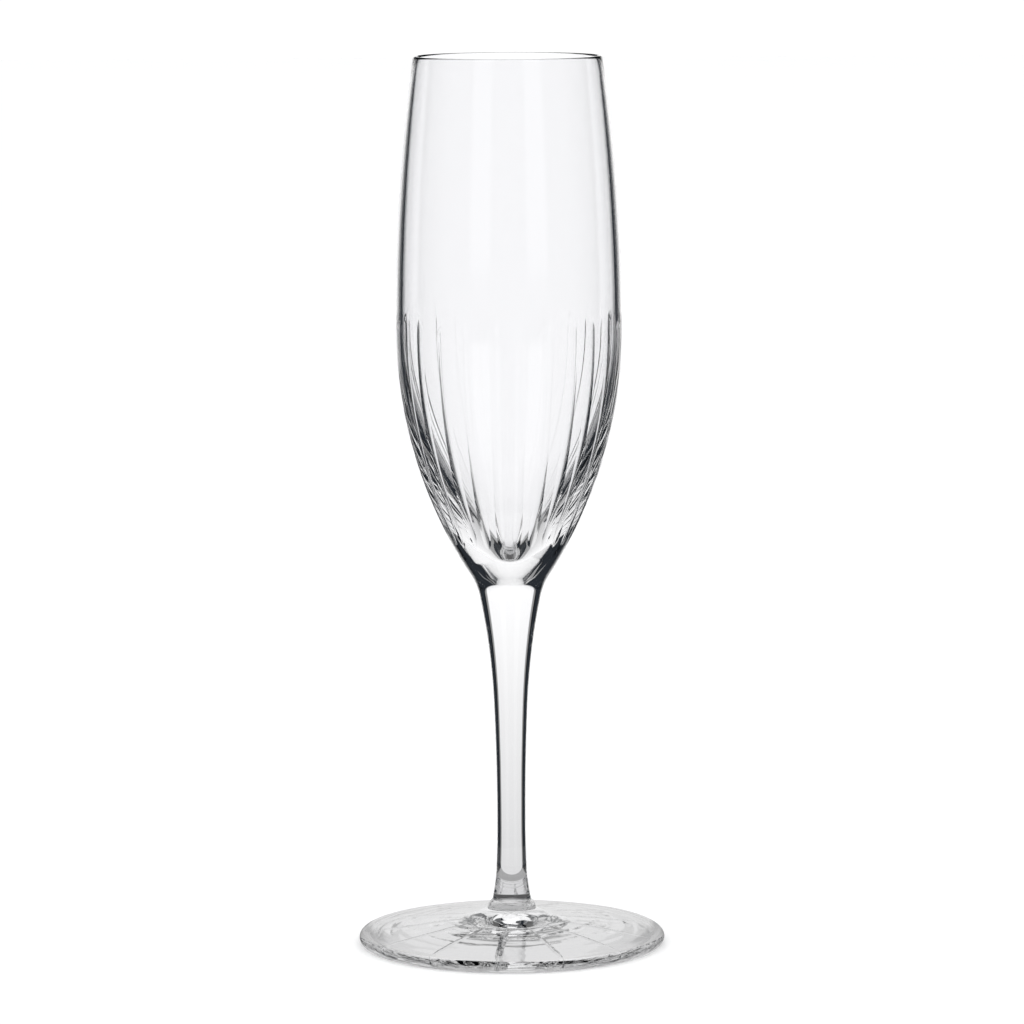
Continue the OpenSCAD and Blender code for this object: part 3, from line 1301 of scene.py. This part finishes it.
@dataclass(frozen=True)
class Floor:
    """Wide white floor, whose far part the glass doesn't see; near the flute the glass sees
    painted shade on it instead of the white sheet.

    A ramp says where it begins and ends, and what it gives at both ends.

    Attributes:
        reach: Half of its width.
        colour: Colour of the sheet.
        roughness: Roughness of the sheet.
        glow: Light that the sheet itself gives.
        under: Radius of the part that the glass sees, where painted shade stands in for the shade
            under the flute.
        middle: Painted shade that the glass sees, from the axis outwards, darkest under the stem.
        edge: Painted darkening added to it towards the edge of the foot and past it.
        strip: Share of the painted shade that is left beside the foot, which goes black there.
    """

    reach: float = 6000.0
    colour: str = "#F6F6F6"
    roughness: float = 0.6
    glow: float = 0.25
    under: float = 75.0
    middle: tuple[float, ...] = (12.0, 15.0, 0.10, 0.66)
    edge: tuple[float, ...] = (42.0, 46.0, 0.0, -0.25)
    strip: tuple[float, ...] = (42.0, 48.0, 1.0, 0.0)

    def build(self) -> None:
        """Lays the floor, which shows the glass painted shade near the flute."""
        made = new_material("white_sheet_and_painted_shade")
        tree = made.node_tree
        place = add_millimetres(tree)
        away = add_node(tree, "ShaderNodeVectorMath", {"operation": "LENGTH"}, {0: place})
        path = add_node(tree, "ShaderNodeLightPath")
        known = add_place(tree, place) | {
            "away": away.outputs["Value"],
            "through": path.outputs["Is Transmission Ray"],
            "gloss": path.outputs["Is Glossy Ray"],
        }
        work_out(tree, known, [("out", "ABSOLUTE", "x")])
        # Painted shade for the glass: grey, darkest under the stem, darker past the foot's rim and
        # black beside the foot.
        known["middle"] = add_ramp(tree, known["away"], self.middle)
        known["edge"] = add_ramp(tree, known["away"], self.edge)
        known["strip"] = add_ramp(tree, known["out"], self.strip)
        work_out(
            tree,
            known,
            [
                ("grey", "ADD", "middle", "edge"),
                ("grey", "MULTIPLY", "grey", "strip"),
                ("far", "GREATER_THAN", "away", self.under),
                ("ray", "MAXIMUM", "through", "gloss"),
            ],
        )
        white = add_node(
            tree,
            "ShaderNodeBsdfPrincipled",
            None,
            {
                "Base Color": linear(self.colour),
                "Roughness": self.roughness,
                "Emission Color": linear("#FFFFFF"),
                "Emission Strength": self.glow,
            },
        )
        # The painted shade glows as a grey emission that transmission and glossy rays see in place
        # of the lit floor; beyond under the floor is clear to them.
        grey = add_node(tree, "ShaderNodeEmission", None, {"Strength": known["grey"]})
        clear = add_node(tree, "ShaderNodeBsdfTransparent")
        seen = add_node(
            tree,
            "ShaderNodeMixShader",
            None,
            {0: known["far"], 1: grey.outputs[0], 2: clear.outputs[0]},
        )
        mixed = add_node(
            tree,
            "ShaderNodeMixShader",
            None,
            {0: known["ray"], 1: white.outputs[0], 2: seen.outputs[0]},
        )
        add_node(tree, "ShaderNodeOutputMaterial", None, {"Surface": mixed.outputs[0]})
        r = self.reach
        add_sheet("studio_floor", [(-r, -r, 0), (r, -r, 0), (r, r, 0), (-r, r, 0)], made)


@dataclass(frozen=True)
class LongLens:
    """Camera with a long lens, a little above the rim, looking slightly down.

    Attributes:
        sensor: Width of the sensor.
        length: Focal length.
        shift: Sideways shift of the lens, as a share of the sensor.
        away: Distance in front of the axis.
        height: Height above the floor.
        down: How far it looks down, in degrees.
        roll: How far it leans to the side, in degrees.
        clip: Nearest and farthest distance that it sees.
    """

    sensor: float = 36.0
    length: float = 180.025
    shift: float = 0.0021
    away: float = 1366.0
    height: float = 294.1
    down: float = 7.36
    roll: float = -0.29
    clip: tuple[float, float] = (50.0, 50000.0)

    def build(self) -> None:
        """Sets up the camera."""
        data = bpy.data.cameras.new("camera")
        data.sensor_width, data.lens, data.shift_x = self.sensor, self.length, self.shift
        data.clip_start, data.clip_end = (v * MM for v in self.clip)
        camera = bpy.data.objects.new("camera", data)
        bpy.context.scene.collection.objects.link(camera)
        camera.matrix_world = (
            Matrix.Translation(Vector((0.0, -self.away, self.height)) * MM)
            @ Matrix.Rotation(math.radians(90 - self.down), 4, "X")
            @ Matrix.Rotation(math.radians(self.roll), 4, "Z")
        )
        bpy.context.scene.camera = camera


@dataclass
class Studio:
    """White floor, light tent and camera.

    Attributes:
        windows: Bright openings that the glass sees.
        sides: Openings to other sides, which it doesn't mirror.
        overhead: Brightness of the light above.
        top: Elevations where the light above begins and is full, in degrees.
        backdrop: Brightness of what the camera sees beyond the floor.
        dark: Colour of the tent's dark cloth.
        card: The card behind the glass.
        floor: The floor.
        lens: The camera.
    """

    windows: tuple[Window, ...] = (
        Window(148, 12, -75, -7, 0.5),
        Window(-148, 12, -75, -7, 0.5),
    )
    sides: tuple[Window, ...] = (
        Window(90, 12, -6.5, 40),
        Window(90, 12, -60, -16),
        Window(-135, 12, -60, -14),
        Window(45, 12, -60, -17),
    )
    overhead: float = 1.12
    top: tuple[float, float] = (5.0, 35.0)
    backdrop: float = 1.05
    dark: str = "#2A2E33"
    card: Card = Card()
    floor: Floor = Floor()
    lens: LongLens = LongLens()

    def tent(self) -> None:
        """Builds the world: white to the camera, and a tent with windows to the glass."""
        world = bpy.data.worlds.new("light_tent")
        bpy.context.scene.world = world
        world.use_nodes = True
        tree = world.node_tree
        tree.nodes.clear()
        place = add_node(tree, "ShaderNodeTexCoord")
        known = add_place(tree, place.outputs["Generated"])
        work_out(
            tree,
            known,
            [
                ("up", "ARCSINE", "z"),
                ("up", "DEGREES", "up"),
                ("xx", "MULTIPLY", "x", "x"),
                ("rr", "MULTIPLY_ADD", "y", "y", "xx"),
                ("rr", "MAXIMUM", "rr", 1e-9),
                ("r", "SQRT", "rr"),
                ("light", "MULTIPLY", "x", 0.0),
            ],
        )
        path = add_node(tree, "ShaderNodeLightPath")
        known |= {
            "gloss": path.outputs["Is Glossy Ray"],
            "diffuse": path.outputs["Is Diffuse Ray"],
        }
        work_out(tree, known, [("clear", "SUBTRACT", 1.0, "gloss")])
        for window in self.windows + self.sides:
            a = math.radians(window.azimuth)
            work_out(
                tree,
                known,
                [
                    ("part_x", "MULTIPLY", "x", -math.sin(a)),
                    ("part", "MULTIPLY_ADD", "y", math.cos(a), "part_x"),
                    ("part", "DIVIDE", "part", "r"),
                    ("turn", "ARCCOSINE", "part"),
                    ("turn", "DEGREES", "turn"),
                ],
            )
            for name, value, edge, way in (
                ("beside", "turn", window.half, -1),
                ("below", "up", window.low, 1),
                ("above", "up", window.high, -1),
            ):
                ease = way * window.soft / 2
                known[name] = add_ramp(tree, known[value], (edge - ease, edge + ease), True)
            work_out(
                tree,
                known,
                [
                    ("share", "MULTIPLY", "beside", "below"),
                    ("share", "MULTIPLY", "share", "above"),
                    ("share", "MULTIPLY", "share", window.light),
                    ("share", "MULTIPLY", "share", "clear" if window in self.sides else "gloss"),
                    ("light", "MAXIMUM", "light", "share"),
                ],
            )
        known["top"] = add_ramp(tree, known["up"], (*self.top, 0.0, self.overhead), True)
        work_out(
            tree,
            known,
            [("top", "MULTIPLY", "top", "diffuse"), ("light", "MAXIMUM", "light", "top")],
        )
        dark = add_node(
            tree, "ShaderNodeBackground", None, {"Color": linear(self.dark), "Strength": 1.0}
        )
        bright = add_node(
            tree,
            "ShaderNodeBackground",
            None,
            {"Color": linear("#FFFFFF"), "Strength": known["light"]},
        )
        seen = add_node(
            tree, "ShaderNodeAddShader", None, {0: dark.outputs[0], 1: bright.outputs[0]}
        )
        plain = add_node(
            tree,
            "ShaderNodeBackground",
            None,
            {"Color": linear("#FFFFFF"), "Strength": self.backdrop},
        )
        mixed = add_node(
            tree,
            "ShaderNodeMixShader",
            None,
            {0: path.outputs["Is Camera Ray"], 1: seen.outputs[0], 2: plain.outputs[0]},
        )
        add_node(tree, "ShaderNodeOutputWorld", None, {"Surface": mixed.outputs[0]})

    def build(self) -> None:
        """Sets up the studio and how light is followed through the glass."""
        self.tent()
        for part in (self.card, self.floor, self.lens):
            part.build()
        scene = bpy.context.scene
        scene.view_settings.view_transform = "Standard"
        cycles = scene.cycles
        cycles.max_bounces = 24
        cycles.transmission_bounces = 24
        cycles.glossy_bounces = 12
        cycles.diffuse_bounces = 3
        cycles.transparent_max_bounces = 24
        cycles.caustics_reflective = cycles.caustics_refractive = True
        cycles.blur_glossy = 0.1
        cycles.use_denoising = True
        log.info("studio: %d windows", len(self.windows))


def main() -> None:
    """Builds the studio and the four gathers, and writes how large they are."""
    logging.basicConfig(level=logging.INFO, format="%(name)s: %(message)s")
    Studio().build()
    bowl = Bowl()
    for sub_assembly in (bowl, Stem(joint_lean=bowl.joint_lean()), FootButton(), Foot()):
        sub_assembly.build()


if __name__ == "__main__":
    main()
